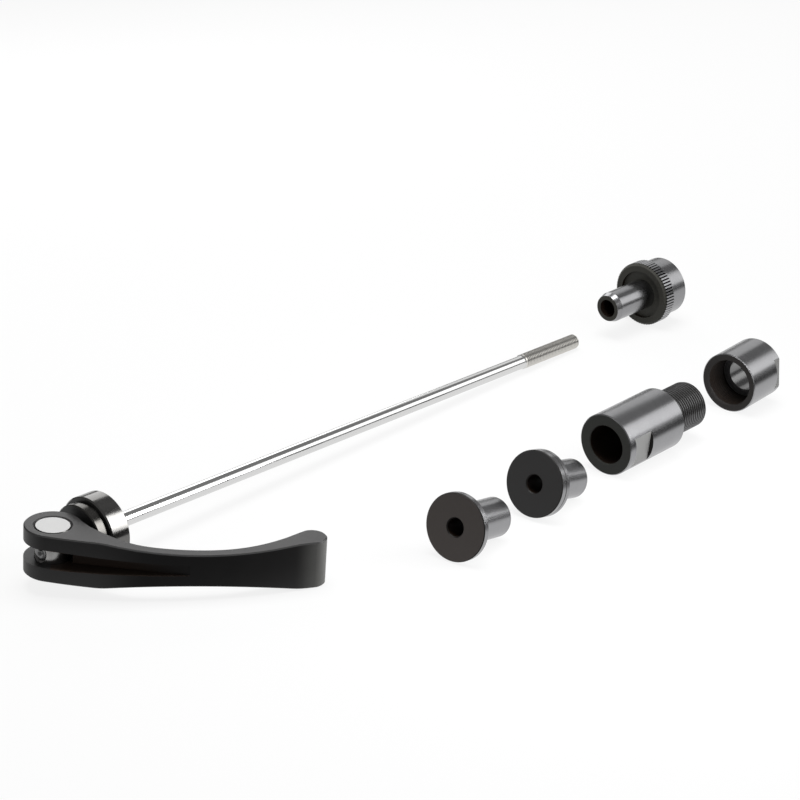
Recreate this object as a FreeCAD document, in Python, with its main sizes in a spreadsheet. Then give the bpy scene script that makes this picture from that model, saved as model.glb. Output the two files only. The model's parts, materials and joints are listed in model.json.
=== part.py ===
import FreeCAD, Part
import math
import os
from enum import IntEnum

import Sketcher
from FreeCAD import Placement, Rotation, Vector

# Thru-axle adapter kit: a quick-release skewer with its lever and collar, a knurled nut, two flanged
# bushes, a threaded axle body and its end cap, laid out on a bench. Millimetres, +X right, +Z up.

# Driving dimensions in millimetres, and turns in degrees.
SIZES = {
    # Skewer rod and its rolled thread
    "rod_diameter": 4.5,
    "rod_length": 236.9,
    "thread_diameter": 5,
    "thread_length": 29.5,
    "thread_chamfer": 1.1,
    "rod_recess": 0.5,
    "dimple_radius": 1.2,
    "dimple_depth": 0.7,
    # Cross pin through the lever's ears
    "pin_diameter": 10.4,
    "pin_chamfer": 0.3,
    "pin_sink": 0.1,
    "pin_mouth_radius": 2.9,
    "pin_mouth_depth": 1.2,
    "rod_fit": 0.02,
    # Lever
    "head_height": 14.3,
    "head_radius": 8.3,
    "cam_offset": 0.6,
    "fork_gap": 5.5,
    "slot_depth": 5.9,
    "lever_reach": 72.8,
    "tip_lift": -0.6,
    "tip_radius": 4.2,
    "back_radius": 138,
    "blade_thickness": 3.65,
    "head_blend": 24,
    "tip_blend": 46,
    "waist_height": 9.8,
    "waist_position": 42,
    "waist_radius": 170,
    "shoulder_radius": 25,
    "edge_chamfer": 0.35,
    "slot_knee": -0.5,
    "channel_end": 39,
    "channel_depth": 4.8,
    "channel_end_floor": -10.9,
    "channel_end_height": 3,
    "pin_clearance": 0.05,
    "ear_chamfer": 0.4,
    # Collar and cam seat
    "collar_diameter": 22,
    "collar_length": 6.75,
    "collar_chamfer": 0.4,
    "seat_diameter": 19.4,
    "seat_stand": 3.5,
    "seat_depth": 3,
    "seat_chamfer": 0.3,
    "seat_gap": 0.5,
    "rod_clearance": 0.08,
    # Knurled nut
    "nut_sleeve_diameter": 10.4,
    "nut_sleeve_length": 18.2,
    "nut_lead_length": 2,
    "nut_lead_drop": 0.65,
    "nut_mouth_diameter": 6.2,
    "nut_mouth_depth": 10,
    "nut_thread_depth": 27.4,
    "nut_recess_diameter": 16.8,
    "nut_recess_depth": 1.2,
    "knurl_diameter": 22.4,
    "knurl_width": 5,
    "knurl_chamfer": 0.8,
    "knurl_depth": 0.45,
    "knurl_count": 64,
    "nut_rear_diameter": 20,
    "nut_length": 31.4,
    "nut_rear_chamfer": 0.5,
    # Flanged bushes
    "flange_diameter": 20.4,
    "sleeve_diameter": 12,
    "flange_front_chamfer": 0.25,
    "bush_bore": 5.5,
    "bush_bore_chamfer": 0.3,
    "sleeve_chamfer": 0.5,
    "thin_flange": 2.2,
    "thin_back_chamfer": 0.25,
    "thin_length": 20.9,
    "thick_flange": 4.3,
    "thick_back_chamfer": 0.6,
    "thick_length": 20,
    # Axle body and end cap
    "body_diameter": 19.8,
    "body_length": 27.3,
    "body_chamfer": 0.3,
    "body_bore": 12.4,
    "body_bore_chamfer": 0.3,
    "body_flat_start": 2.6,
    "body_flat_length": 8.5,
    "body_flat_across": 17,
    "axle_thread": 15,
    "axle_thread_length": 15.4,
    "axle_thread_chamfer": 0.8,
    "cap_length": 17.3,
    "cap_thread_depth": 9.3,
    "cap_thread_chamfer": 0.35,
    "cap_bore": 10.6,
    "cap_flat_length": 3.4,
    "cap_flat_across": 17,
    "cap_chamfer": 0.3,
    # Places on the bench
    "skewer_x": -106.51,
    "skewer_y": -101.54,
    "skewer_turn": 48.15,
    "lever_turn": 46.35,
    "nut_x": 62.83,
    "nut_y": 82.73,
    "nut_turn": 46.8,
    "thin_bush_x": 6.99,
    "thin_bush_y": -86.04,
    "thin_bush_turn": 54,
    "thick_bush_x": 30.99,
    "thick_bush_y": -57.84,
    "thick_bush_turn": 51,
    "body_x": 54.39,
    "body_y": -27.94,
    "body_turn": 48.2,
    "body_roll": 8,
    "cap_x": 97.59,
    "cap_y": 20.46,
    "cap_turn": 51.2,
    "cap_roll": -3,
}

# Room that a cutting profile leaves outside the solid it cuts.
CUT_MARGIN = 5

FULL_TURN = 360

doc = FreeCAD.newDocument("ThruAxleAdapter")


class Spot(IntEnum):
    """The sketcher's own numbers for the points of a curve."""

    START = 1
    END = 2
    MIDDLE = 3


class Axis(IntEnum):
    """The sketcher's own numbers for its two axes, the first of which starts at the origin."""

    LEVEL = -1
    UPRIGHT = -2


ORIGIN = (Axis.LEVEL, Spot.START)


class Size:
    """A length together with the sheet expression that gives it."""

    def __init__(self, value, text):
        self.value = value
        self.text = text

    @staticmethod
    def of(number):
        if isinstance(number, Size):
            return number
        return Size(number, repr(number))

    def join(self, other, mark, value):
        return Size(value, f"({self.text} {mark} {other.text})")

    def __add__(self, other):
        other = Size.of(other)
        return self.join(other, "+", self.value + other.value)

    def __radd__(self, other):
        return Size.of(other) + self

    def __sub__(self, other):
        other = Size.of(other)
        return self.join(other, "-", self.value - other.value)

    def __rsub__(self, other):
        return Size.of(other) - self

    def __mul__(self, other):
        other = Size.of(other)
        return self.join(other, "*", self.value * other.value)

    def __rmul__(self, other):
        return Size.of(other) * self

    def __truediv__(self, other):
        other = Size.of(other)
        return self.join(other, "/", self.value / other.value)

    def __neg__(self):
        return Size.of(0) - self

    def root(self):
        return Size(math.sqrt(self.value), f"sqrt({self.text})")


class Sheet:
    """The spreadsheet of driving dimensions, read as sizes."""

    def __init__(self, sizes):
        self.cells = doc.addObject("Spreadsheet::Sheet", "Sizes")
        for row, (alias, value) in enumerate(sizes.items(), start=1):
            self.cells.set(f"A{row}", alias)
            self.cells.set(f"B{row}", str(value))
            self.cells.setAlias(f"B{row}", alias)
        doc.recompute()

    def __getattr__(self, alias):
        return Size(float(self.cells.get(alias)), f"Sizes.{alias}")


size = Sheet(SIZES)


# Sketch and feature helpers

def bind(item, path, length):
    item.setExpression(path, length.text)


def new_body(label):
    body = doc.addObject("PartDesign::Body", label)
    body.Label = label
    return body


def origin_item(body, role):
    return next(item for item in body.Origin.OriginFeatures if item.Role == role)


def new_sketch(body, name, plane, lift=None):
    sketch = body.newObject("Sketcher::SketchObject", f"{body.Label}_{name}")
    sketch.AttachmentSupport = [(origin_item(body, plane), "")]
    sketch.MapMode = "FlatFace"
    if lift is not None:
        bind(sketch, "AttachmentOffset.Base.z", lift)
    return sketch


def name_and_bind(sketch, number, name, length):
    sketch.renameConstraint(number, name)
    bind(sketch, f"Constraints.{name}", length)


def pin_point(sketch, item, end, point):
    """Hold one point of the sketch at its x and y sizes."""
    axes = (("DistanceX", Axis.UPRIGHT, point[0]), ("DistanceY", Axis.LEVEL, point[1]))
    for kind, axis, length in axes:
        length = Size.of(length)
        if length.value == 0:
            sketch.addConstraint(Sketcher.Constraint("PointOnObject", item, end, axis))
            continue
        number = sketch.addConstraint(Sketcher.Constraint(kind, *ORIGIN, item, end, length.value))
        name_and_bind(sketch, number, f"{kind}_{item}_{end}", length)


def draw_polygon(sketch, points):
    """Add a closed outline whose corners are pairs of sizes."""
    corners = [Vector(Size.of(x).value, Size.of(y).value, 0) for x, y in points]
    first = sketch.GeometryCount
    count = len(corners)
    for index in range(count):
        sketch.addGeometry(Part.LineSegment(corners[index], corners[(index + 1) % count]))
    for index in range(count):
        here = first + index
        following = first + (index + 1) % count
        sketch.addConstraint(Sketcher.Constraint("Coincident", here, Spot.END, following, Spot.START))
    for index, point in enumerate(points):
        pin_point(sketch, first + index, Spot.START, point)


def draw_rectangle(sketch, low, high):
    draw_polygon(sketch, [low, (high[0], low[1]), high, (low[0], high[1])])


def draw_circle(sketch, radius):
    circle = Part.Circle(Vector(0, 0, 0), Vector(0, 0, 1), radius.value)
    item = sketch.addGeometry(circle)
    sketch.addConstraint(Sketcher.Constraint("Coincident", item, Spot.MIDDLE, *ORIGIN))
    number = sketch.addConstraint(Sketcher.Constraint("Radius", item, radius.value))
    name_and_bind(sketch, number, "radius", radius)


def add_feature(body, kind, name, sketch):
    feature = body.newObject(f"PartDesign::{kind}", f"{body.Label}_{name}")
    feature.Profile = sketch
    return feature


def cut_through(body, name, sketch):
    """Pocket both ways from the sketch through the whole solid."""
    pocket = add_feature(body, "Pocket", name, sketch)
    pocket.SideType = "Symmetric"
    pocket.Type = "ThroughAll"
    return pocket


def cut_along(body, name, sketch, length):
    """Pocket from the sketch towards +X."""
    pocket = add_feature(body, "Pocket", name, sketch)
    pocket.Reversed = True
    bind(pocket, "Length", length)
    return pocket


def closed_edges(shape, wanted=lambda edge: True):
    """Names of a shape's full circles, or of those that are wanted."""
    return [
        f"Edge{number}"
        for number, edge in enumerate(shape.Edges, start=1)
        if edge.isClosed() and wanted(edge)
    ]


def add_chamfer(body, name, base, edges, width):
    chamfer = body.newObject("PartDesign::Chamfer", f"{body.Label}_{name}")
    chamfer.Base = (base, edges)
    bind(chamfer, "Size", width)


def turn_profile(body, kind, name, points):
    """Revolve an outline of (axial, radial) sizes about the body's X axis."""
    sketch = new_sketch(body, f"{name}_profile", "XY_Plane")
    draw_polygon(sketch, points)
    turned = add_feature(body, kind, name, sketch)
    turned.ReferenceAxis = (sketch, ["H_Axis"])
    return turned


def cut_flats(body, start, length, across, diameter):
    """Mill two opposite flats whose normals are the body's Y axis."""
    sketch = new_sketch(body, "flats_profile", "YZ_Plane", start)
    reach = diameter / 2 + CUT_MARGIN
    draw_rectangle(sketch, (across / 2, -reach), (reach, reach))
    draw_rectangle(sketch, (-reach, -reach), (-across / 2, reach))
    cut_along(body, "flats", sketch, length)


# Skewer: the pivot is the origin, the rod runs along +X and the cross pin along Z

def make_rod():
    rod = new_body("skewer_rod")
    radius = size.rod_diameter / 2
    thread_radius = size.thread_diameter / 2
    near = size.rod_recess - size.pin_diameter / 2
    thread_start = size.rod_length - size.thread_length
    rise = thread_radius - radius
    turn_profile(rod, "Revolution", "turned", [
        (near + size.dimple_depth, 0),
        (near, size.dimple_radius),
        (near, radius),
        (thread_start, radius),
        (thread_start + rise, thread_radius),
        (size.rod_length - size.thread_chamfer, thread_radius),
        (size.rod_length, thread_radius - size.thread_chamfer),
        (size.rod_length, 0),
    ])
    return rod


def make_cross_pin():
    pin = new_body("cross_pin")
    radius = size.pin_diameter / 2
    hole_radius = size.rod_diameter / 2 + size.rod_fit
    sketch = new_sketch(pin, "round", "XY_Plane")
    draw_circle(sketch, radius)
    barrel = add_feature(pin, "Pad", "barrel", sketch)
    barrel.SideType = "Symmetric"
    bind(barrel, "Length", size.head_height - 2 * size.pin_sink)
    doc.recompute()
    add_chamfer(pin, "rims", barrel, closed_edges(barrel.Shape), size.pin_chamfer)
    hole = new_sketch(pin, "rod_hole_round", "YZ_Plane")
    draw_circle(hole, hole_radius)
    cut_through(pin, "rod_hole", hole)
    turn_profile(pin, "Groove", "rod_mouth", [
        (-radius, 0),
        (-radius, size.pin_mouth_radius),
        (-radius + size.pin_mouth_depth, hole_radius),
        (-radius + size.pin_mouth_depth, 0),
    ])
    return pin


def circles_meet(centre_a, radius_a, centre_b, radius_b, left):
    """Point where two circles cross, on the left or right of the way from a to b."""
    way = centre_b - centre_a
    span = way.Length
    along = (radius_a**2 - radius_b**2 + span**2) / (2 * span)
    aside = math.sqrt(radius_a**2 - along**2)
    forward = way / span
    sideways = Vector(-forward.y, forward.x, 0)
    return centre_a + forward * along + sideways * (aside if left else -aside)


def arc_between(centre, radius, start, end):
    """Anticlockwise arc about a centre from the bearing of one point to that of another."""
    first = math.atan2(start.y - centre.y, start.x - centre.x)
    last = math.atan2(end.y - centre.y, end.x - centre.x)
    circle = Part.Circle(centre, Vector(0, 0, 1), radius)
    return Part.ArcOfCircle(circle, first, last if last > first else last + 2 * math.pi)


def draw_lever_plan(sketch):
    """Outline of the lever seen along the pin: six arcs, each tangent to the next."""
    inner_radius = size.back_radius - size.blade_thickness
    head = Vector(0, size.cam_offset.value, 0)
    tip = Vector(size.lever_reach.value, size.tip_lift.value, 0)
    back_r = size.back_radius.value
    inner_r = inner_radius.value
    head_r = size.head_radius.value
    tip_r = size.tip_radius.value
    head_blend_r = size.head_blend.value
    tip_blend_r = size.tip_blend.value
    back = circles_meet(head, back_r - head_r, tip, back_r - tip_r, True)
    head_blend = circles_meet(head, head_r + head_blend_r, back, inner_r - head_blend_r, False)
    tip_blend = circles_meet(tip, tip_r + tip_blend_r, back, inner_r - tip_blend_r, True)

    # Arcs in the order they follow one another, anticlockwise round the outline.
    back_arc, tip_arc, tip_blend_arc, inner_arc, head_blend_arc, head_arc = range(6)
    back_to_tip = tip + (tip - back)
    back_to_head = head + (head - back)
    sketch.addGeometry(arc_between(back, back_r, head, tip))
    sketch.addGeometry(arc_between(tip, tip_r, back_to_tip, tip_blend))
    sketch.addGeometry(arc_between(tip_blend, tip_blend_r, tip_blend + (tip_blend - back), tip))
    sketch.addGeometry(arc_between(back, inner_r, head_blend, tip_blend))
    sketch.addGeometry(arc_between(head_blend, head_blend_r, head, head_blend + (head_blend - back)))
    sketch.addGeometry(arc_between(head, head_r, head_blend, back_to_head))

    joins = (
        (back_arc, Spot.END, tip_arc, Spot.START),
        (tip_arc, Spot.END, tip_blend_arc, Spot.END),
        (tip_blend_arc, Spot.START, inner_arc, Spot.END),
        (inner_arc, Spot.START, head_blend_arc, Spot.END),
        (head_blend_arc, Spot.START, head_arc, Spot.START),
        (head_arc, Spot.END, back_arc, Spot.START),
    )
    for join in joins:
        sketch.addConstraint(Sketcher.Constraint("Tangent", *join))
    sketch.addConstraint(Sketcher.Constraint("Coincident", back_arc, Spot.MIDDLE, inner_arc, Spot.MIDDLE))
    pin_point(sketch, head_arc, Spot.MIDDLE, (0, size.cam_offset))
    pin_point(sketch, tip_arc, Spot.MIDDLE, (size.lever_reach, size.tip_lift))
    radii = (
        (back_arc, size.back_radius),
        (tip_arc, size.tip_radius),
        (tip_blend_arc, size.tip_blend),
        (inner_arc, inner_radius),
        (head_blend_arc, size.head_blend),
        (head_arc, size.head_radius),
    )
    for item, radius in radii:
        number = sketch.addConstraint(Sketcher.Constraint("Radius", item, radius.value))
        name_and_bind(sketch, number, f"radius_{item}", radius)


def draw_waist(sketch, side):
    """One scoop that thins the blade's height, side +1 above and -1 below."""
    drop = (size.head_height - size.waist_height) / 2
    both = size.waist_radius + size.shoulder_radius
    reach = (2 * both * drop - drop * drop).root()
    share = size.shoulder_radius / both
    half = size.head_height / 2
    low_u = size.waist_position - reach
    high_u = size.waist_position + reach
    turn_u = reach * share
    turn_v = half - drop * share
    waist_v = size.waist_height / 2
    top = half + CUT_MARGIN

    def at(u, v):
        return Vector(u.value, side * v.value, 0)

    corners = [
        (low_u, half),
        (low_u + turn_u, turn_v),
        (high_u - turn_u, turn_v),
        (high_u, half),
        (high_u, top),
        (low_u, top),
    ]
    half_turn = math.asin((turn_u / size.shoulder_radius).value) / 2
    shoulder_u = size.shoulder_radius.value * math.sin(half_turn)
    shoulder_v = half.value - size.shoulder_radius.value * (1 - math.cos(half_turn))
    points = [at(u, v) for u, v in corners]
    near_mid = Vector(low_u.value + shoulder_u, side * shoulder_v, 0)
    far_mid = Vector(high_u.value - shoulder_u, side * shoulder_v, 0)
    first = sketch.GeometryCount
    count = len(points)
    mids = [near_mid, at(size.waist_position, waist_v), far_mid]
    for index, mid in enumerate(mids):
        sketch.addGeometry(Part.Arc(points[index], mid, points[index + 1]))
    for index in range(len(mids), count):
        sketch.addGeometry(Part.LineSegment(points[index], points[(index + 1) % count]))

    # An arc's start is its anticlockwise beginning, so the order of ends depends on the side.
    forward = (Spot.START, Spot.END)
    backward = (Spot.END, Spot.START)
    shoulder_ends = backward if side > 0 else forward
    waist_ends = forward if side > 0 else backward
    ends = [shoulder_ends, waist_ends, shoulder_ends, forward, forward, forward]
    for index in range(count):
        following = (index + 1) % count
        sketch.addConstraint(Sketcher.Constraint(
            "Coincident", first + index, ends[index][1], first + following, ends[following][0]))
    for index, (u, v) in enumerate(corners):
        pin_point(sketch, first + index, ends[index][0], (u, v if side > 0 else -v))
    radii = (size.shoulder_radius, size.waist_radius, size.shoulder_radius)
    for index, radius in enumerate(radii):
        number = sketch.addConstraint(Sketcher.Constraint("Radius", first + index, radius.value))
        name_and_bind(sketch, number, f"radius_{first + index}", radius)


def rim_edges(shape):
    """Names of the edges where the lever's upright walls meet its top and bottom."""
    upright_limit = 0.2
    names = []
    for number, edge in enumerate(shape.Edges, start=1):
        uprights = []
        for face in shape.ancestorsOfType(edge, Part.Face):
            u, v = face.Surface.parameter(edge.valueAt(edge.getParameterByLength(edge.Length / 2)))
            uprights.append(abs(face.normalAt(u, v).z) < upright_limit)
        if sorted(uprights) == [False, True]:
            names.append(f"Edge{number}")
    return names


def make_lever():
    lever = new_body("lever")
    plan = new_sketch(lever, "plan", "XY_Plane")
    draw_lever_plan(plan)
    blade = add_feature(lever, "Pad", "blade", plan)
    blade.SideType = "Symmetric"
    bind(blade, "Length", size.head_height)
    waist_sketch = new_sketch(lever, "waist_profile", "XZ_Plane")
    draw_waist(waist_sketch, 1)
    draw_waist(waist_sketch, -1)
    waist = cut_through(lever, "waist", waist_sketch)
    doc.recompute()
    add_chamfer(lever, "edges", waist, rim_edges(waist.Shape), size.edge_chamfer)

    # Slot that parts the head into two ears, slanted where the rod swings out of it, then the
    # channel that runs out of the slot along the back.
    slot_plan = new_sketch(lever, "slot_plan", "XY_Plane")
    reach = size.head_radius + CUT_MARGIN
    draw_polygon(slot_plan, [
        (-reach, -reach),
        (size.slot_depth, -reach),
        (size.slot_depth, size.slot_knee),
        (size.slot_depth + reach - size.slot_knee, reach),
        (-reach, reach),
    ])
    slot = add_feature(lever, "Pocket", "slot", slot_plan)
    slot.SideType = "Symmetric"
    bind(slot, "Length", size.fork_gap)
    outside = -(size.head_radius + 2 * CUT_MARGIN)
    deep = new_sketch(lever, "channel_root", "YZ_Plane", size.slot_depth)
    floor = size.channel_depth - size.head_radius
    draw_rectangle(deep, (outside, -size.fork_gap / 2), (floor, size.fork_gap / 2))
    shallow = new_sketch(lever, "channel_runout", "YZ_Plane", size.channel_end)
    draw_rectangle(
        shallow,
        (outside, -size.channel_end_height / 2),
        (size.channel_end_floor, size.channel_end_height / 2),
    )
    channel = add_feature(lever, "SubtractiveLoft", "channel", deep)
    channel.Sections = [shallow]

    hole = new_sketch(lever, "pin_hole_round", "XY_Plane")
    draw_circle(hole, size.pin_diameter / 2 + size.pin_clearance)
    pin_hole = cut_through(lever, "pin_hole", hole)
    doc.recompute()
    half = size.head_height.value / 2
    mouths = closed_edges(pin_hole.Shape, lambda edge: math.isclose(abs(edge.CenterOfMass.z), half))
    add_chamfer(lever, "pin_mouths", pin_hole, mouths, size.ear_chamfer)
    return lever


# Places of the collar and its seat along the rod, measured from the pivot.
seat_face = size.head_radius + size.cam_offset + size.seat_gap
collar_front = seat_face + size.seat_stand
collar_back = collar_front + size.collar_length
seat_back = collar_front + size.seat_depth
collar_bore = size.rod_diameter / 2 + size.rod_clearance


def make_collar():
    collar = new_body("collar")
    radius = size.collar_diameter / 2
    seat_radius = size.seat_diameter / 2
    chamfer = size.collar_chamfer
    turn_profile(collar, "Revolution", "turned", [
        (collar_front, seat_radius),
        (collar_front, radius - chamfer),
        (collar_front + chamfer, radius),
        (collar_back - chamfer, radius),
        (collar_back, radius - chamfer),
        (collar_back, collar_bore),
        (seat_back, collar_bore),
        (seat_back, seat_radius),
    ])
    return collar


def make_cam_seat():
    seat = new_body("cam_seat")
    radius = size.seat_diameter / 2
    turn_profile(seat, "Revolution", "turned", [
        (seat_face, collar_bore),
        (seat_face, radius - size.seat_chamfer),
        (seat_face + size.seat_chamfer, radius),
        (seat_back, radius),
        (seat_back, collar_bore),
    ])
    return seat


# Turned pieces: the front face is at the origin and the axis runs along +X

def make_nut():
    nut = new_body("knurled_nut")
    sleeve = size.nut_sleeve_diameter / 2
    mouth = size.nut_mouth_diameter / 2
    thread = size.thread_diameter / 2
    recess = size.nut_recess_diameter / 2
    knurl = size.knurl_diameter / 2
    rear = size.nut_rear_diameter / 2
    face = size.nut_sleeve_length
    knurl_end = face + size.knurl_width
    turn_profile(nut, "Revolution", "turned", [
        (0, mouth),
        (0, sleeve - size.nut_lead_drop),
        (size.nut_lead_length, sleeve),
        (face + size.nut_recess_depth, sleeve),
        (face + size.nut_recess_depth, recess),
        (face, recess),
        (face, knurl - size.knurl_chamfer),
        (face + size.knurl_chamfer, knurl),
        (knurl_end, knurl),
        (knurl_end, rear),
        (size.nut_length - size.nut_rear_chamfer, rear),
        (size.nut_length, rear - size.nut_rear_chamfer),
        (size.nut_length, 0),
        (size.nut_thread_depth, 0),
        (size.nut_thread_depth, thread),
        (size.nut_mouth_depth, thread),
        (size.nut_mouth_depth, mouth),
    ])
    doc.recompute()

    # One V groove along the band, then repeated round it. Ridge and groove are equally wide.
    half_pitch = size.knurl_diameter * math.pi / size.knurl_count / 2
    outside = knurl + CUT_MARGIN
    spread = half_pitch * (CUT_MARGIN + size.knurl_depth) / size.knurl_depth / 2
    tooth = new_sketch(nut, "knurl_profile", "YZ_Plane", face)
    draw_polygon(tooth, [(0, knurl - size.knurl_depth), (spread, outside), (-spread, outside)])
    groove = cut_along(nut, "knurl_groove", tooth, size.knurl_width)
    doc.recompute()
    knurling = nut.newObject("PartDesign::PolarPattern", "knurled_nut_knurl")
    knurling.Originals = [groove]
    knurling.Axis = (origin_item(nut, "X_Axis"), [""])
    knurling.Angle = FULL_TURN
    bind(knurling, "Occurrences", size.knurl_count)
    nut.Tip = knurling
    return nut


def make_bush(label, flange, back_chamfer, length):
    bush = new_body(label)
    rim = size.flange_diameter / 2
    sleeve = size.sleeve_diameter / 2
    bore = size.bush_bore / 2
    turn_profile(bush, "Revolution", "turned", [
        (0, bore + size.bush_bore_chamfer),
        (0, rim - size.flange_front_chamfer),
        (size.flange_front_chamfer, rim),
        (flange - back_chamfer, rim),
        (flange, rim - back_chamfer),
        (flange, sleeve),
        (length - size.sleeve_chamfer, sleeve),
        (length, sleeve - size.sleeve_chamfer),
        (length, bore),
        (size.bush_bore_chamfer, bore),
    ])
    return bush


def make_axle_body():
    body = new_body("axle_body")
    outer = size.body_diameter / 2
    bore = size.body_bore / 2
    thread = size.axle_thread / 2
    end = size.body_length + size.axle_thread_length
    turn_profile(body, "Revolution", "turned", [
        (0, bore + size.body_bore_chamfer),
        (0, outer - size.body_chamfer),
        (size.body_chamfer, outer),
        (size.body_length - size.body_chamfer, outer),
        (size.body_length, outer - size.body_chamfer),
        (size.body_length, thread),
        (end - size.axle_thread_chamfer, thread),
        (end, thread - size.axle_thread_chamfer),
        (end, bore),
        (size.body_bore_chamfer, bore),
    ])
    cut_flats(body, size.body_flat_start, size.body_flat_length,
              size.body_flat_across, size.body_diameter)
    return body


def make_end_cap():
    cap = new_body("end_cap")
    outer = size.body_diameter / 2
    thread = size.axle_thread / 2
    bore = size.cap_bore / 2
    turn_profile(cap, "Revolution", "turned", [
        (0, thread + size.cap_thread_chamfer),
        (0, outer - size.cap_chamfer),
        (size.cap_chamfer, outer),
        (size.cap_length - size.cap_chamfer, outer),
        (size.cap_length, outer - size.cap_chamfer),
        (size.cap_length, bore),
        (size.cap_thread_depth, bore),
        (size.cap_thread_depth, thread),
        (size.cap_thread_chamfer, thread),
    ])
    cut_flats(cap, size.cap_length - size.cap_flat_length, size.cap_flat_length,
              size.cap_flat_across, size.body_diameter)
    return cap


# Rest poses on the bench

def lowest_point(shape):
    return shape.optimalBoundingBox(False, False).ZMin


def bench_place(x, y, height, turn, tilt=0, roll=0):
    return Placement(Vector(x.value, y.value, height), Rotation(turn.value, tilt, roll))


def bush_place(x, y, turn, flange, back_chamfer, length):
    """A bush lies on the back rim of its flange and the end of its sleeve."""
    rim = size.flange_diameter.value / 2
    rim_at = (flange - back_chamfer).value
    end_at = (length - size.sleeve_chamfer).value
    tilt = math.atan2(rim - size.sleeve_diameter.value / 2, end_at - rim_at)
    height = rim_at * math.sin(tilt) + rim * math.cos(tilt)
    return bench_place(x, y, height, turn, math.degrees(tilt))


def skewer_place(lever_shape):
    """The skewer lies on the collar's far rim, the rod's tip and the lever's tip."""
    rim = size.collar_diameter.value / 2
    rim_at = (collar_back - size.collar_chamfer).value
    tip = size.thread_diameter.value / 2
    tip_at = (size.rod_length - size.thread_chamfer).value
    pitch = math.atan2(rim - tip, tip_at - rim_at)
    height = rim_at * math.sin(pitch) + rim * math.cos(pitch)
    aside = size.lever_reach.value * math.sin(math.radians(size.lever_turn.value))
    roll = 0.0
    settling_steps = 8
    for _ in range(settling_steps):
        pose = bench_place(size.skewer_x, size.skewer_y, height, size.skewer_turn,
                           math.degrees(pitch), math.degrees(roll))
        posed = lever_shape.copy()
        posed.Placement = pose.multiply(lever_swing())
        roll += math.atan2(lowest_point(posed), aside)
    return pose


def lever_swing():
    return Placement(Vector(), Rotation(-size.lever_turn.value, 0, 0))


lever = make_lever()
skewer_pieces = [make_rod(), make_cross_pin(), make_collar(), make_cam_seat()]
nut = make_nut()
thin_bush = make_bush("thin_flange_bush", size.thin_flange, size.thin_back_chamfer, size.thin_length)
thick_bush = make_bush("thick_flange_bush", size.thick_flange, size.thick_back_chamfer, size.thick_length)
axle_body = make_axle_body()
end_cap = make_end_cap()
doc.recompute()

skewer = skewer_place(lever.Shape)
lever.Placement = skewer.multiply(lever_swing())
for piece in skewer_pieces:
    piece.Placement = skewer
nut.Placement = bench_place(size.nut_x, size.nut_y, size.knurl_diameter.value / 2, size.nut_turn)
thin_bush.Placement = bush_place(size.thin_bush_x, size.thin_bush_y, size.thin_bush_turn,
                                 size.thin_flange, size.thin_back_chamfer, size.thin_length)
thick_bush.Placement = bush_place(size.thick_bush_x, size.thick_bush_y, size.thick_bush_turn,
                                  size.thick_flange, size.thick_back_chamfer, size.thick_length)
body_height = size.body_diameter.value / 2
axle_body.Placement = bench_place(size.body_x, size.body_y, body_height, size.body_turn,
                                  roll=size.body_roll.value)
end_cap.Placement = bench_place(size.cap_x, size.cap_y, body_height, size.cap_turn,
                                roll=size.cap_roll.value)
doc.recompute()

pieces = [lever, *skewer_pieces, nut, thin_bush, thick_bush, axle_body, end_cap]
for item in doc.Objects:
    if "Invalid" in item.State or "Error" in item.State:
        raise RuntimeError(f"{item.Label} failed to build")
for piece in pieces:
    if piece.Shape.isNull() or not piece.Shape.isValid():
        raise RuntimeError(f"{piece.Label} has no valid shape")

os.makedirs("parts", exist_ok=True)
for piece in pieces:
    piece.Shape.exportStep(f"parts/{piece.Label}.step")
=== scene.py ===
import json
import math

import bmesh
import bpy
from mathutils import Matrix, Vector


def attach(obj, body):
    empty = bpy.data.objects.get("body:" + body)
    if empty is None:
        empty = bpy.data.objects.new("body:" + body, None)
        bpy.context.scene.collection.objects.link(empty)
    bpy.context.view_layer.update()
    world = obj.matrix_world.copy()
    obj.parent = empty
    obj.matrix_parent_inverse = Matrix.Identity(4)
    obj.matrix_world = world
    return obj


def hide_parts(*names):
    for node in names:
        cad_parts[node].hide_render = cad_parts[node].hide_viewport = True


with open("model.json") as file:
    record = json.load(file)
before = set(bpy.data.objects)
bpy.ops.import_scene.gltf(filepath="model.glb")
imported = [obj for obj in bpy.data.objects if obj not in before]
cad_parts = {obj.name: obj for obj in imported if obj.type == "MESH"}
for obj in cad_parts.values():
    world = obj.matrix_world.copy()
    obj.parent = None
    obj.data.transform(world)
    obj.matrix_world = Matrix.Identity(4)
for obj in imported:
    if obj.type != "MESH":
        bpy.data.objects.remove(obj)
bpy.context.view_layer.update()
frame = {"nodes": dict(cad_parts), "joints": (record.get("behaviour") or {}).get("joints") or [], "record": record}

# Thru-axle adapter kit on a white bench: a skewer with its lever and collar, a knurled nut, two
# flanged bushes, a threaded axle body and its end cap. Metres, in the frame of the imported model.
MM = 0.001

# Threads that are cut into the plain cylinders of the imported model, in millimetres. A groove's depth
# and width are in pitches.
ROD_PITCH = 0.8
AXLE_PITCH = 1.0
ROD_GROOVE = (0.42, 0.72)
AXLE_GROOVE = (0.56, 0.88)
ROD_STEPS_PER_TURN = 32
AXLE_STEPS_PER_TURN = 72
THREAD_START_IN_PITCHES = 0.75
THREAD_OVERRUN_IN_PITCHES = 1.5

# Edges sharper than this stay crisp, and points nearer than this are joined.
CRISP_ANGLE = math.radians(32)
MERGE_DISTANCE = 0.5e-6


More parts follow.
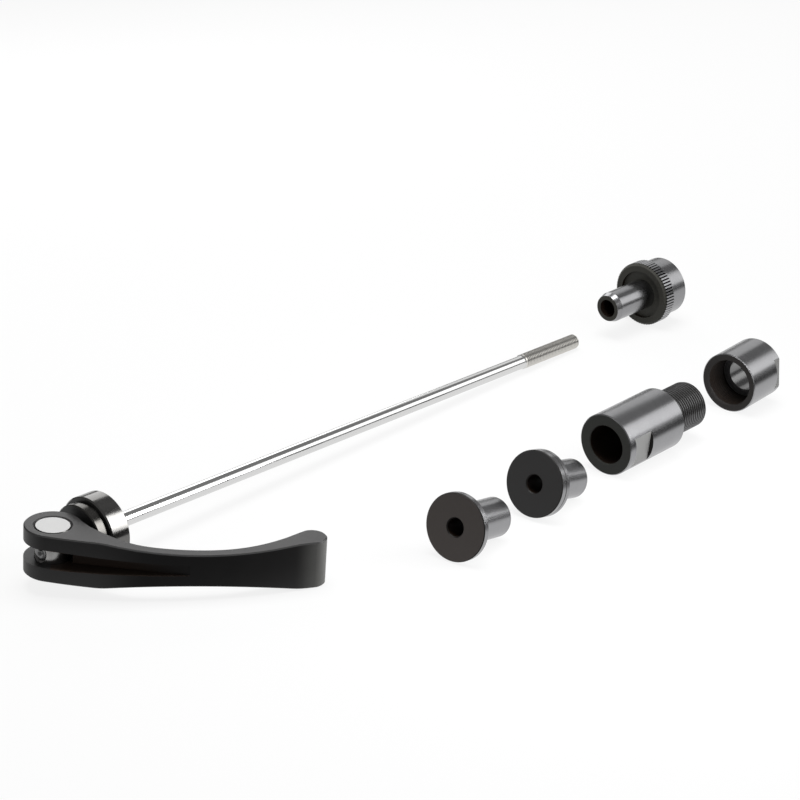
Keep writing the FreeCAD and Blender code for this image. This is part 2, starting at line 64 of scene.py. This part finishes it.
# Places of the pieces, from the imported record

class Line:
    """A piece's axis, with its own X along the axis from a chosen end and its own Z upward."""

    def __init__(self, point, direction, up=(0, 0, 1)):
        self.direction = Vector(direction).normalized()
        self.point = Vector(point)
        side = Vector(up).cross(self.direction).normalized()
        self.axes = (self.direction, side, self.direction.cross(side))

    @property
    def euler(self):
        return Matrix(self.axes).transposed().to_euler("XYZ")

    def from_front_of(self, node):
        """The same line, measured from the node's first point along it."""
        first = min(self.direction.dot(v.co - self.point) for v in frame["nodes"][node].data.vertices)
        return Line(self.point + self.direction * first, self.direction)


mounts = {mount["name"]: mount for mount in frame["record"]["mounts"]}
joints = {joint["name"]: joint for joint in frame["joints"]}


def mount_line(mount_name, node, way):
    mount = mounts[mount_name]
    return Line(mount["pos_m"], Vector(mount["axis"]) * way).from_front_of(node)


lines = {
    "skewer_rod": Line(joints["lever_swing"]["pos_m"], mounts["rod_thread"]["axis"]),
    "knurled_nut": mount_line("nut_mouth", "knurled_nut", -1),
    "thin_flange_bush": mount_line("thin_bush_bore", "thin_flange_bush", -1),
    "thick_flange_bush": mount_line("thick_bush_bore", "thick_flange_bush", -1),
    "axle_body": mount_line("body_bore", "axle_body", -1),
    "end_cap": mount_line("cap_thread", "end_cap", -1),
}
lines["collar"] = lines["skewer_rod"]
lines["cam_seat"] = lines["skewer_rod"]
pivot = Vector(joints["lever_swing"]["pos_m"])
pin_axis = -Vector(joints["lever_swing"]["axis"])
lever_tip = max((v.co - pivot for v in frame["nodes"]["lever"].data.vertices), key=lambda way: way.length)
lines["cross_pin"] = Line(pivot, pin_axis, up=(1, 0, 0))
lines["lever"] = Line(pivot, lever_tip - pin_axis * lever_tip.dot(pin_axis), up=pin_axis)


# Shader trees written as expressions

class Wire:
    """A number on a shader wire. Arithmetic on it adds Math nodes."""

    def __init__(self, finish, socket):
        self.finish = finish
        self.socket = socket

    def math(self, operation, *others):
        sockets = {index: value for index, value in enumerate((self, *others))}
        return self.finish.node("ShaderNodeMath", {"operation": operation}, sockets).wire()

    def __add__(self, other):
        return self.math("ADD", other)

    __radd__ = __add__

    def __mul__(self, other):
        return self.math("MULTIPLY", other)

    __rmul__ = __mul__

    def __sub__(self, other):
        return self.math("SUBTRACT", other)

    def __rsub__(self, other):
        return self * -1 + other

    def __truediv__(self, other):
        return self.math("DIVIDE", other)

    def __pow__(self, other):
        return self.math("POWER", other)

    def size(self):
        return self.math("ABSOLUTE")

    def most(self, other):
        return self.math("MAXIMUM", other)

    def step(self, low, high):
        """0 below low, 1 above high and smooth between them."""
        sockets = {"Value": self, "From Min": low, "From Max": high}
        settings = {"interpolation_type": "SMOOTHSTEP"}
        return self.finish.node("ShaderNodeMapRange", settings, sockets).wire("Result")

    def between(self, low, high, blur):
        return self.step(low - blur, low + blur) * (1 - self.step(high - blur, high + blur))

    def blend(self, low, high):
        """Low where this is 0 and high where it is 1."""
        return self * (high - low) + low


class Node:
    """A shader node whose outputs are read as wires."""

    def __init__(self, finish, node):
        self.finish = finish
        self.node = node

    def wire(self, output=0):
        return Wire(self.finish, self.node.outputs[output])


class Finish:
    """A material with one surface shader. Every node comes from the one method."""

    def __init__(self, name):
        self.material = bpy.data.materials.new(name)
        self.material.use_nodes = True
        self.tree = self.material.node_tree
        self.tree.nodes.clear()
        self.coordinates = self.node("ShaderNodeTexCoord")

    def node(self, kind, settings=None, sockets=None):
        node = self.tree.nodes.new(kind)
        for name, value in (settings or {}).items():
            setattr(node, name, value)
        for name, value in (sockets or {}).items():
            if isinstance(value, Wire):
                self.tree.links.new(value.socket, node.inputs[name])
            else:
                node.inputs[name].default_value = value
        return Node(self, node)

    def mix_colour(self, factor, low, high):
        sockets = {"Factor": factor, 6: low, 7: high}
        return self.node("ShaderNodeMix", {"data_type": "RGBA"}, sockets).wire(2)

    def noise(self, vector, scale, detail=3.0, roughness=0.55):
        sockets = {"Vector": vector, "Scale": scale, "Detail": detail, "Roughness": roughness}
        return self.node("ShaderNodeTexNoise", {"noise_dimensions": "3D"}, sockets).wire(0)

    def vector(self, x, y, z):
        return self.node("ShaderNodeCombineXYZ", None, {"X": x, "Y": y, "Z": z}).wire()

    def parts(self, vector):
        split = self.node("ShaderNodeSeparateXYZ", None, {"Vector": vector})
        return split.wire("X"), split.wire("Y"), split.wire("Z")

    def local(self, line):
        """Place in millimetres and normal, both seen from a piece's own line."""
        settings = {"vector_type": "TEXTURE"}
        place = self.node("ShaderNodeMapping", settings, {
            "Vector": self.coordinates.wire("Object"),
            "Location": line.point,
            "Rotation": line.euler,
            "Scale": (MM, MM, MM),
        })
        normal = self.node("ShaderNodeMapping", settings, {
            "Vector": self.coordinates.wire("Normal"),
            "Rotation": line.euler,
        })
        return place.wire(), normal.wire()

    def bump(self, height, strength, distance):
        sockets = {"Height": height, "Strength": strength, "Distance": distance}
        return self.node("ShaderNodeBump", None, sockets).wire()

    def close(self, **sockets):
        """Make the surface shader and the output. Underscores in socket names stand for spaces."""
        named = {name.replace("_", " "): value for name, value in sockets.items()}
        surface = self.node("ShaderNodeBsdfPrincipled", None, named)
        self.node("ShaderNodeOutputMaterial", None, {"Surface": surface.wire("BSDF")})
        return self.material


class Turned:
    """Coordinates on a turned piece.

    They are the place along its axis and out from it, and how far the surface faces along the axis
    and outward.
    """

    def __init__(self, finish, line):
        place, normal = finish.local(line)
        self.place = place
        self.along, y, z = finish.parts(place)
        self.facing, normal_y, normal_z = finish.parts(normal)
        self.radius = (y * y + z * z) ** 0.5
        self.outward = (y * normal_y + z * normal_z) / self.radius.most(0.01)


def turning_marks(finish, turned, per_mm):
    """Fine rings left by the lathe, on the sides and on the end faces."""
    rings = finish.vector(turned.along, turned.radius, 0.0)
    return finish.noise(rings, per_mm, detail=2.0)


# Colours of the finishes, and of painted shade and a painted highlight
GUNMETAL = (0.46, 0.46, 0.47, 1)
GUNMETAL_DARK = (0.36, 0.36, 0.37, 1)
MILLED = (0.33, 0.33, 0.325, 1)
# Painted shade: the near-black brown of the bores.
BORE_SHADE_BROWN = (0.014, 0.008, 0.005, 1)
BORE_GREY = (0.2, 0.2, 0.2, 1)
# Painted shade: black put in the knurl's grooves, the thread roots, the flats' end walls, the bushes' chamfers and
# the line round the thick flange.
SHADE_BLACK = (0.012, 0.011, 0.01, 1)
# Painted shade: grey that darkens the threaded part of the axle body.
THREAD_SHADE_GREY = (0.1, 0.1, 0.1, 1)
# Painted shade: the dark colours of the front faces, one for each piece.
BODY_FACE_SHADE = (0.042, 0.044, 0.039, 1)
CAP_FACE_SHADE = (0.03, 0.027, 0.026, 1)
NUT_FACE_SHADE = (0.052, 0.051, 0.043, 1)
THIN_BUSH_FACE_SHADE = (0.115, 0.102, 0.096, 1)
THICK_BUSH_FACE_SHADE = (0.056, 0.055, 0.055, 1)
ROD_BRIGHT = (0.77, 0.77, 0.765, 1)
ROD_THREAD = (0.74, 0.72, 0.68, 1)
# Painted shade: grey in the roots of the rod's thread.
ROD_ROOT_SHADE = (0.1, 0.095, 0.09, 1)
ROD_END_GREY = (0.2, 0.2, 0.2, 1)
PIN_END = ((0.4, 0.4, 0.4, 1), (0.53, 0.53, 0.525, 1))
# Painted shade: dark colour on the pin's round side in the ear holes and round its ends.
PIN_EDGE_SHADE = (0.1, 0.098, 0.095, 1)
PIN_BARREL = (0.36, 0.355, 0.35, 1)
LEVER_BLACK = ((0.021, 0.0206, 0.021, 1), (0.03, 0.0288, 0.0288, 1))
# Painted highlight: the lighter colour on the walls of the lever's tip.
LEVER_TIP_HIGHLIGHT = (0.22, 0.22, 0.21, 1)
CHANNEL_BROWN = (0.05, 0.033, 0.024, 1)
COLLAR_CHROME = ((0.155, 0.152, 0.148, 1), (0.19, 0.187, 0.182, 1))
SEAT_CHROME = ((0.08, 0.078, 0.074, 1), (0.11, 0.106, 0.1, 1))
COLLAR_FACE_BLACK = (0.012, 0.012, 0.012, 1)

# Half the width of the painted shadow line round the thick flange, and how far from the lever's tip the
# painted highlight on its walls starts and is full, in millimetres
STEP_SHADOW_HALF = 0.18
TIP_HIGHLIGHT_START, TIP_HIGHLIGHT_FULL = 9.0, 1.0


def turned_gunmetal(
    node, face, tone, dark_until=1.0, bare_rim=False, dark_edge=False, step_shadow=None, dark_bore=None,
    thread=None, flats=None, knurl=None
):
    """Turned metal with bright sides, and painted shade that makes the front faces and bores black.

    face is the colour of the painted shade on the front faces, which goes on until that far along the
    piece. tone is how bright the sides are. A bare rim keeps the painted shade off the face's outer
    edge, a dark edge adds black painted shade on the face's chamfers. step_shadow is where a fine
    painted shadow line runs round the flange. dark_bore is where the bore with painted shade ends and a
    bright one goes on, and a radius round both. thread is where its outside thread starts and the radius
    of its crests; the threaded part gets painted shade and its roots black painted shade. flats is where
    they start and end and the round's radius beside them; their end walls get black painted shade. knurl
    is its radius; its grooves get painted shade. All are in millimetres.
    """
    finish = Finish(f"gunmetal_{node}")
    turned = Turned(finish, lines[node])
    # Painted shade: the front faces are coloured dark, up to dark_until along the piece.
    front = (turned.facing * -1).step(0.5, 0.65) * (1 - turned.along.step(dark_until, dark_until + 0.1))
    if bare_rim:
        front = front * (1 - turned.outward.step(0.4, 0.6))
    bore = (turned.outward * -1).step(0.75, 0.9)
    marks = turning_marks(finish, turned, 5.0)
    cloud = finish.noise(turned.place, 0.16, detail=4.0)
    dark, light = ([part * tone for part in colour[:3]] + [1] for colour in (GUNMETAL_DARK, GUNMETAL))
    colour = finish.mix_colour(cloud * 0.6 + marks * 0.3, dark, light)
    inside = bore
    if dark_bore is not None:
        end, reach = dark_bore
        within = 1 - turned.radius.step(reach - 0.05, reach + 0.05)
        inside = within * turned.along.between(dark_until, end, 0.05)
        colour = finish.mix_colour(bore, colour, BORE_GREY)
    metallic = 1 - front.most(inside)
    roughness = metallic.blend(0.5, 0.24) + (marks - 0.5) * 0.14
    if flats is not None:
        start, end, round_radius = flats
        milled = turned.along.between(start, end, 0.03) * turned.outward.step(0.5, 0.7)
        milled = milled * (1 - turned.radius.step(round_radius - 0.12, round_radius - 0.04))
        # Painted shade: the end walls of the flats are coloured black.
        wall = (turned.facing * -1).step(0.8, 0.9) * turned.along.between(start, end + 0.1, 0.03)
        colour = finish.mix_colour(milled, colour, MILLED)
        colour = finish.mix_colour(wall, colour, SHADE_BLACK)
        roughness = roughness + milled * 0.3
        metallic = metallic * (1 - milled * 0.75) * (1 - wall)
    if knurl is not None:
        # Painted shade: the knurl's grooves are darkened.
        groove = turned.radius.between(knurl - 0.5, knurl - 0.13, 0.05) * turned.outward.step(0.3, 0.5)
        colour = finish.mix_colour(groove * 0.85, colour, SHADE_BLACK)
    if thread is not None:
        start, crest = thread
        threaded = turned.along.step(start, start + 0.05)
        # Painted shade: the threaded part is darkened halfway, and its roots are coloured black.
        root = threaded * (1 - turned.radius.step(crest - 0.2, crest - 0.06))
        colour = finish.mix_colour(threaded * 0.5, colour, THREAD_SHADE_GREY)
        colour = finish.mix_colour(root, colour, SHADE_BLACK)
        metallic = metallic * (1 - root)
        roughness = roughness + root * 0.25
    colour = finish.mix_colour(front, colour, face)
    if dark_edge:
        # Painted shade: the chamfers of the front faces are coloured black.
        chamfer = front * (1 - (turned.facing * -1).step(0.8, 0.95))
        colour = finish.mix_colour(chamfer, colour, SHADE_BLACK)
    if step_shadow is not None:
        # Painted shadow: a fine black line round the flange, where a step would cast one.
        step_shadow_line = turned.along.between(step_shadow - STEP_SHADOW_HALF, step_shadow + STEP_SHADOW_HALF, 0.04)
        step_shadow_line = step_shadow_line * turned.outward.step(0.5, 0.7)
        colour = finish.mix_colour(step_shadow_line, colour, SHADE_BLACK)
        metallic = metallic * (1 - step_shadow_line)
    # Painted shade: the bores, or the threaded part of the cap's bore, are coloured near black.
    colour = finish.mix_colour(inside, colour, BORE_SHADE_BROWN)
    return finish.close(
        Base_Color=colour,
        Metallic=metallic,
        Roughness=roughness,
        Specular_IOR_Level=0.25,
        Normal=finish.bump(marks, 0.18, 0.02 * MM),
    )


def polished_steel(node, thread_start, crest):
    """Bright drawn rod with a rolled thread, whose roots get painted shade, and a dull end in the pin."""
    finish = Finish(f"polished_steel_{node}")
    turned = Turned(finish, lines[node])
    streak = finish.noise(finish.vector(turned.along * 0.03, turned.outward * 3.0, 0.0), 6.0)
    haze = finish.noise(turned.place, 0.35)
    threaded = turned.along.step(thread_start - 0.1, thread_start + 0.1)
    # Painted shade: the thread's roots are darkened.
    root = (1 - turned.radius.step(crest - 0.26, crest - 0.04)) * threaded
    dull = (turned.facing * -1).step(0.4, 0.7) * (1 - turned.along.step(-1.0, 0.0))
    colour = finish.mix_colour(threaded, ROD_BRIGHT, ROD_THREAD)
    colour = finish.mix_colour(root * 0.7, colour, ROD_ROOT_SHADE)
    colour = finish.mix_colour(dull, colour, ROD_END_GREY)
    return finish.close(
        Base_Color=colour,
        Metallic=1.0,
        Roughness=threaded.blend(0.08, 0.2) + haze * 0.04 + streak * 0.03 + dull * 0.15,
        Normal=finish.bump(streak, 0.05, 0.01 * MM),
    )


def satin_pin_steel(fork_gap):
    """Ground steel barrel with finely blasted ends, and painted shade that darkens its round side in the ear holes
    and round the ends.
    """
    finish = Finish("satin_pin_steel")
    turned = Turned(finish, lines["cross_pin"])
    grain = finish.noise(turned.place, 3.0, detail=4.0)
    in_fork = 1 - turned.along.size().step(fork_gap / 2 - 0.1, fork_gap / 2 + 0.1)
    round_side = turned.outward.step(0.3, 0.6)
    colour = finish.mix_colour(grain * 0.8 + 0.1, *PIN_END)
    # Painted shade: the round side, outside the fork, is coloured dark.
    colour = finish.mix_colour(round_side, colour, PIN_EDGE_SHADE)
    colour = finish.mix_colour(in_fork, colour, PIN_BARREL)
    return finish.close(
        Base_Color=colour,
        Metallic=round_side.blend(0.35, 1.0),
        Roughness=round_side.blend(0.45, 0.22) + (grain - 0.5) * 0.12,
        Normal=finish.bump(grain, 0.12, 0.02 * MM),
    )


def lever_satin_black(channel):
    """Forged lever under a satin black coat with a very fine grain.

    channel holds, at its start and at its end, the place along the lever, the floor's place across
    it and half the channel's height, in millimetres. Its walls are bare and brownish, and the walls
    of the lever's tip carry a painted highlight that makes them lighter.
    """
    finish = Finish("lever_satin_black")
    place, normal = finish.local(lines["lever"])
    along, across, height = finish.parts(place)
    _, _, facing_up = finish.parts(normal)
    tip = lines["lever"].direction.dot(lever_tip) / MM
    # Painted highlight: the walls near the tip are lighter.
    tip_highlight = along.step(tip - TIP_HIGHLIGHT_START, tip - TIP_HIGHLIGHT_FULL) * (1 - facing_up.size().step(0.3, 0.6))
    (start, start_floor, start_half), (end, end_floor, end_half) = channel
    run = (along - start) / (end - start)
    floor = run * (end_floor - start_floor) + start_floor
    half = run * (end_half - start_half) + start_half
    bare = along.between(0.0, end, 0.05) * (1 - (across - floor).step(0.15, 0.3))
    bare = bare * (1 - (height.size() - half).step(-0.01, 0.03))
    grain = finish.noise(place, 9.0)
    cloud = finish.noise(place, 0.12, detail=4.0)
    colour = finish.mix_colour(cloud, *LEVER_BLACK)
    colour = finish.mix_colour(tip_highlight * cloud.blend(0.7, 1.0), colour, LEVER_TIP_HIGHLIGHT)
    colour = finish.mix_colour(bare, colour, CHANNEL_BROWN)
    return finish.close(
        Base_Color=colour,
        Metallic=0.0,
        IOR=1.42,
        Roughness=0.4 + cloud * 0.08 + (grain - 0.5) * 0.1 + bare * 0.1,
        Normal=finish.bump(grain, 0.16, 0.02 * MM),
    )


def collar_black_chrome(name, plating, roughness):
    """Dark polished plating on the sides of the collar and its seat, plain black on their faces."""
    finish = Finish(name)
    turned = Turned(finish, lines["collar"])
    marks = turning_marks(finish, turned, 4.0)
    cloud = finish.noise(turned.place, 0.2, detail=4.0)
    side = turned.outward.step(0.3, 0.6)
    colour = finish.mix_colour(side, COLLAR_FACE_BLACK, finish.mix_colour(cloud, *plating))
    return finish.close(
        Base_Color=colour,
        Metallic=side,
        Roughness=side.blend(0.4, roughness) + (marks - 0.5) * 0.06,
        Normal=finish.bump(marks, 0.1, 0.01 * MM),
    )


# Threads, cut with a helical groove

def socket_of(tree, name):
    return next(item.identifier for item in tree.interface.items_tree if item.name == name)


def thread_tool():
    """A node tree that cuts a helical groove round +Z into the mesh it is given."""
    tree = bpy.data.node_groups.new("cut_thread", "GeometryNodeTree")
    inputs = (
        ("Geometry", "NodeSocketGeometry"),
        ("Crest Radius", "NodeSocketFloat"),
        ("Pitch", "NodeSocketFloat"),
        ("Turns", "NodeSocketFloat"),
        ("Steps per Turn", "NodeSocketInt"),
        ("Groove Depth", "NodeSocketFloat"),
        ("Groove Width", "NodeSocketFloat"),
        ("Start", "NodeSocketVector"),
        ("Turn", "NodeSocketRotation"),
        ("Finish", "NodeSocketMaterial"),
    )
    for name, kind in inputs:
        tree.interface.new_socket(name, in_out="INPUT", socket_type=kind)
    tree.interface.new_socket("Geometry", in_out="OUTPUT", socket_type="NodeSocketGeometry")

    def add(kind, settings=None, sockets=None):
        node = tree.nodes.new(kind)
        for name, value in (settings or {}).items():
            setattr(node, name, value)
        for name, value in (sockets or {}).items():
            if isinstance(value, bpy.types.NodeSocket):
                tree.links.new(value, node.inputs[name])
            else:
                node.inputs[name].default_value = value
        return node

    given = add("NodeGroupInput").outputs
    height = add("ShaderNodeMath", {"operation": "MULTIPLY"}, {0: given["Pitch"], 1: given["Turns"]})
    helix = add("GeometryNodeCurveSpiral", None, {
        "Resolution": given["Steps per Turn"],
        "Rotations": given["Turns"],
        "Start Radius": given["Crest Radius"],
        "End Radius": given["Crest Radius"],
        "Height": height.outputs[0],
    })
    upright = add("GeometryNodeSetCurveNormal", {"mode": "Z_UP"}, {"Curve": helix.outputs[0]})
    diamond = add("GeometryNodeCurvePrimitiveCircle", None, {"Resolution": 4, "Radius": 1.0})
    half_width = add("ShaderNodeMath", {"operation": "MULTIPLY"}, {0: given["Groove Width"], 1: 0.5})
    shape = add("ShaderNodeCombineXYZ", None, {
        "X": given["Groove Depth"],
        "Y": half_width.outputs[0],
        "Z": 1.0,
    })
    profile = add("GeometryNodeTransform", None, {
        "Geometry": diamond.outputs[0],
        "Scale": shape.outputs[0],
    })
    groove = add("GeometryNodeCurveToMesh", None, {
        "Curve": upright.outputs[0],
        "Profile Curve": profile.outputs[0],
        "Fill Caps": True,
    })
    placed = add("GeometryNodeTransform", None, {
        "Geometry": groove.outputs[0],
        "Translation": given["Start"],
        "Rotation": given["Turn"],
    })
    cut = add("GeometryNodeMeshBoolean", {"operation": "DIFFERENCE", "solver": "EXACT"}, {
        "Mesh 1": given["Geometry"],
        "Mesh 2": placed.outputs[0],
    })
    whole = add("GeometryNodeRealizeInstances", None, {"Geometry": cut.outputs[0]})
    finished = add("GeometryNodeSetMaterial", None, {
        "Geometry": whole.outputs[0],
        "Material": given["Finish"],
    })
    add("NodeGroupOutput", None, {"Geometry": finished.outputs[0]})
    return tree


def crisp(mesh):
    mesh.shade_smooth()
    mesh.set_sharp_from_angle(angle=CRISP_ANGLE)


def merged_copy(node, name):
    """The node's own form as one joined mesh."""
    mesh = frame["nodes"][node].data.copy()
    mesh.name = name
    work = bmesh.new()
    work.from_mesh(mesh)
    bmesh.ops.remove_doubles(work, verts=work.verts, dist=MERGE_DISTANCE)
    bmesh.ops.recalc_face_normals(work, faces=work.faces)
    work.to_mesh(mesh)
    work.free()
    if "custom_normal" in mesh.attributes:
        mesh.attributes.remove(mesh.attributes["custom_normal"])
    piece = bpy.data.objects.new(name, mesh)
    bpy.context.scene.collection.objects.link(piece)
    return piece


def threaded_piece(node, mount_name, line, start, length, pitch, groove, steps, finish, tool):
    """The node's form with a real thread cut on its line, from start over a length in millimetres."""
    piece = merged_copy(node, f"{node}_threaded")
    crest = mounts[mount_name]["dims"]["r_mm"]
    turn = line.direction.to_track_quat("Z", "Y")
    values = {
        "Crest Radius": crest * MM,
        "Pitch": pitch * MM,
        "Turns": length / pitch,
        "Steps per Turn": steps,
        "Groove Depth": pitch * groove[0] * MM,
        "Groove Width": pitch * groove[1] * MM,
        "Start": line.point + line.direction * start * MM,
        "Turn": turn.to_euler(),
        "Finish": finish,
    }
    modifier = piece.modifiers.new("thread", "NODES")
    modifier.node_group = tool
    for name, value in values.items():
        modifier[socket_of(tool, name)] = value
    seen = piece.evaluated_get(bpy.context.evaluated_depsgraph_get())
    mesh = bpy.data.meshes.new_from_object(seen)
    piece.modifiers.remove(modifier)
    plain = piece.data
    piece.data = mesh
    bpy.data.meshes.remove(plain)
    crisp(mesh)
    return piece


# Finishes and pieces

def along_line(mount_name, line):
    """Where a mount's wall starts and ends along a line, in millimetres."""
    mount = mounts[mount_name]
    middle = line.direction.dot(Vector(mount["pos_m"]) - line.point) / MM
    half = mount["dims"]["length_mm"] / 2
    return middle - half, middle + half


rod_start, rod_end = along_line("rod_thread", lines["skewer_rod"])
body_start, body_end = along_line("body_thread", lines["axle_body"])
cap_start, cap_end = along_line("cap_thread", lines["end_cap"])
rod_crest = mounts["rod_thread"]["dims"]["r_mm"]
body_crest = mounts["body_thread"]["dims"]["r_mm"]
thick_flange, _ = along_line("thick_bush_sleeve", lines["thick_flange_bush"])

# Flats of the axle body and the end cap: where they start and end along each piece, and the radius of
# the round beside them, in millimetres
BODY_FLATS = (2.6, 11.1)
CAP_FLATS = (13.9, 17.3)
BODY_ROUND = 9.9

# A radius round both bores of the cap, the knurl's radius, and how far the painted shade on the nut's front faces
# goes
CAP_BORE_REACH = 9.2
KNURL_RADIUS = 11.2
NUT_DARK_UNTIL = 20.0

# The lever's fork gap, and its channel at both ends: along the lever, the floor, half the height
FORK_GAP = 5.5
CHANNEL = ((5.9, -3.5, 2.75), (39.0, -10.9, 1.5))

rod_finish = polished_steel("skewer_rod", rod_start, rod_crest)
body_finish = turned_gunmetal(
    "axle_body", BODY_FACE_SHADE, tone=0.86, bare_rim=True, thread=(body_start, body_crest),
    flats=(*BODY_FLATS, BODY_ROUND))
cap_finish = turned_gunmetal(
    "end_cap", CAP_FACE_SHADE, tone=0.88, bare_rim=True, dark_bore=(cap_end, CAP_BORE_REACH),
    flats=(*CAP_FLATS, BODY_ROUND))

tool = thread_tool()
threaded = (
    ("skewer_rod", "rod_thread", rod_start, rod_end, ROD_PITCH, ROD_GROOVE, ROD_STEPS_PER_TURN,
     rod_finish, "rod_steel", 1),
    ("axle_body", "body_thread", body_start, body_end, AXLE_PITCH, AXLE_GROOVE, AXLE_STEPS_PER_TURN,
     body_finish, "gunmetal", 1),
    ("end_cap", "cap_thread", cap_start, cap_end, AXLE_PITCH, AXLE_GROOVE, AXLE_STEPS_PER_TURN,
     cap_finish, "gunmetal", -1),
)
for node, mount_name, start, end, pitch, groove, steps, finish, slot, way in threaded:
    line = lines[node]
    inner = THREAD_START_IN_PITCHES * pitch
    outer = THREAD_OVERRUN_IN_PITCHES * pitch
    low = start + inner if way > 0 else start - outer
    high = end + outer if way > 0 else end - inner
    piece = threaded_piece(node, mount_name, line, low, high - low, pitch, groove, steps, finish, tool)
    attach(piece, "kit")
    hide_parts(node)

node_finishes = {
    "lever": lever_satin_black(CHANNEL),
    "cross_pin": satin_pin_steel(FORK_GAP),
    "collar": collar_black_chrome("collar_black_chrome", COLLAR_CHROME, 0.15),
    "cam_seat": collar_black_chrome("seat_black_chrome", SEAT_CHROME, 0.18),
    "knurled_nut": turned_gunmetal(
        "knurled_nut", NUT_FACE_SHADE, tone=0.8, dark_until=NUT_DARK_UNTIL, knurl=KNURL_RADIUS),
    "thin_flange_bush": turned_gunmetal(
        "thin_flange_bush", THIN_BUSH_FACE_SHADE, tone=0.85, dark_edge=True),
    "thick_flange_bush": turned_gunmetal(
        "thick_flange_bush", THICK_BUSH_FACE_SHADE, tone=0.85, dark_edge=True, step_shadow=thick_flange / 2),
}
for node, finish in node_finishes.items():
    mesh = frame["nodes"][node].data
    mesh.materials.clear()
    mesh.materials.append(finish)


# Bench, light and camera

# Half the bench's width in metres, and the share of real shading that it shows
BENCH_HALF = 6.0
SHADOW_SHARE = 0.16

# The bright card under the pieces ends on their right and in front of the lever: the way to each edge
# and where it fades, in metres, and how much of it fades. In front of the blade it ends sooner than in
# front of the fork: where it fades along Y and where along X.
CARD_EDGES = ((0.752, -0.66, 0.086, 0.104, 0.97), (0.0, -1.0, 0.125, 0.14, 0.8))
BLADE_CARD = ((0.1, 0.122), (-0.098, -0.082))
BLADE_FADE = 0.9

# The bench's colour to the camera, and as it lights the pieces
BENCH_SEEN = (0.7, 0.7, 0.7, 1)
BENCH_BOUNCE = (0.12, 0.12, 0.12, 1)

STUDIO_GREY = (0.2, 0.2, 0.2, 1)
STUDIO_MIDDLE = (0.0, -0.03, 0.01)
LEVER_HEAD = (-0.09, -0.085, 0.01)

# Each lamp's place and the point it faces, in metres, its width and height, and its brightness
LAMPS = {
    "overhead_softbox": ((0.0, 0.05, 1.3), STUDIO_MIDDLE, 0.9, 0.8, 7.5),
    "right_panel": ((1.06, 0.06, 0.5), STUDIO_MIDDLE, 0.95, 0.62, 1.3),
    "right_strip": ((0.13, -0.08, 0.115), LEVER_HEAD, 0.07, 0.2, 6.0),
    "back_panel": ((0.13, 0.52, 0.26), (0.06, 0.0, 0.01), 0.34, 0.26, 0.6),
    "back_left_panel": ((-0.16, 0.42, 0.25), (-0.08, -0.1, 0.01), 0.34, 0.3, 1.8),
}


def white_bench():
    """A white floor that shows as plain white and keeps a soft share of the shadow."""
    mesh = bpy.data.meshes.new("bench")
    corners = [(x * BENCH_HALF, y * BENCH_HALF, 0) for x, y in ((-1, -1), (1, -1), (1, 1), (-1, 1))]
    mesh.from_pydata(corners, [], [(0, 1, 2, 3)])
    bench = bpy.data.objects.new("bench", mesh)
    bpy.context.scene.collection.objects.link(bench)
    finish = Finish("bench_white")
    path = finish.node("ShaderNodeLightPath")
    camera = path.wire("Is Camera Ray")
    seen = camera.most(path.wire("Is Glossy Ray")).most(path.wire("Is Transmission Ray"))
    x, y, _ = finish.parts(finish.coordinates.wire("Object"))
    card = 1 - (y * -1).step(*BLADE_CARD[0]) * x.step(*BLADE_CARD[1]) * BLADE_FADE
    for way_x, way_y, start, end, fade in CARD_EDGES:
        card = card * (1 - (x * way_x + y * way_y).step(start, end) * fade)
    paint = finish.mix_colour(camera, BENCH_BOUNCE, BENCH_SEEN)
    lit = finish.node("ShaderNodeBsdfDiffuse", None, {"Color": paint})
    plain = finish.node("ShaderNodeEmission", None, {"Strength": camera.most(card)})
    share = seen * (1 - SHADOW_SHARE)
    surface = finish.node("ShaderNodeMixShader", None, {0: share, 1: lit.wire(), 2: plain.wire()})
    finish.node("ShaderNodeOutputMaterial", None, {"Surface": surface.wire()})
    mesh.materials.append(finish.material)


def softbox(name, place, target, width, height, radiance):
    """A rectangular lamp of a given brightness that faces a point."""
    lamp = bpy.data.lights.new(name, "AREA")
    lamp.shape = "RECTANGLE"
    lamp.size = width
    lamp.size_y = height
    lamp.energy = radiance * math.pi * width * height
    box = bpy.data.objects.new(name, lamp)
    box.location = place
    box.rotation_euler = (Vector(target) - Vector(place)).to_track_quat("-Z", "Y").to_euler()
    box.visible_camera = False
    bpy.context.scene.collection.objects.link(box)


def studio():
    world = bpy.data.worlds.new("studio")
    world.use_nodes = True
    world.node_tree.nodes["Background"].inputs["Color"].default_value = STUDIO_GREY
    world.node_tree.nodes["Background"].inputs["Strength"].default_value = 1.0
    bpy.context.scene.world = world
    for name, lamp in LAMPS.items():
        softbox(name, *lamp)
    bpy.context.scene.view_settings.view_transform = "Standard"


# The camera that was fitted to the photograph: millimetres, degrees and pixels
CAMERA_PLACE = Vector((-8.81, -767.44, 347.1)) * MM
CAMERA_TILT = 23.54
FOCAL_PIXELS = 2646
IMAGE_PIXELS = 800
SENSOR_WIDTH = 36


def photo_camera():
    data = bpy.data.cameras.new("camera")
    data.sensor_width = SENSOR_WIDTH
    data.lens = SENSOR_WIDTH * FOCAL_PIXELS / IMAGE_PIXELS
    camera = bpy.data.objects.new("camera", data)
    camera.location = CAMERA_PLACE
    camera.rotation_euler = (math.radians(90 - CAMERA_TILT), 0, 0)
    bpy.context.scene.collection.objects.link(camera)
    bpy.context.scene.camera = camera


white_bench()
studio()
photo_camera()
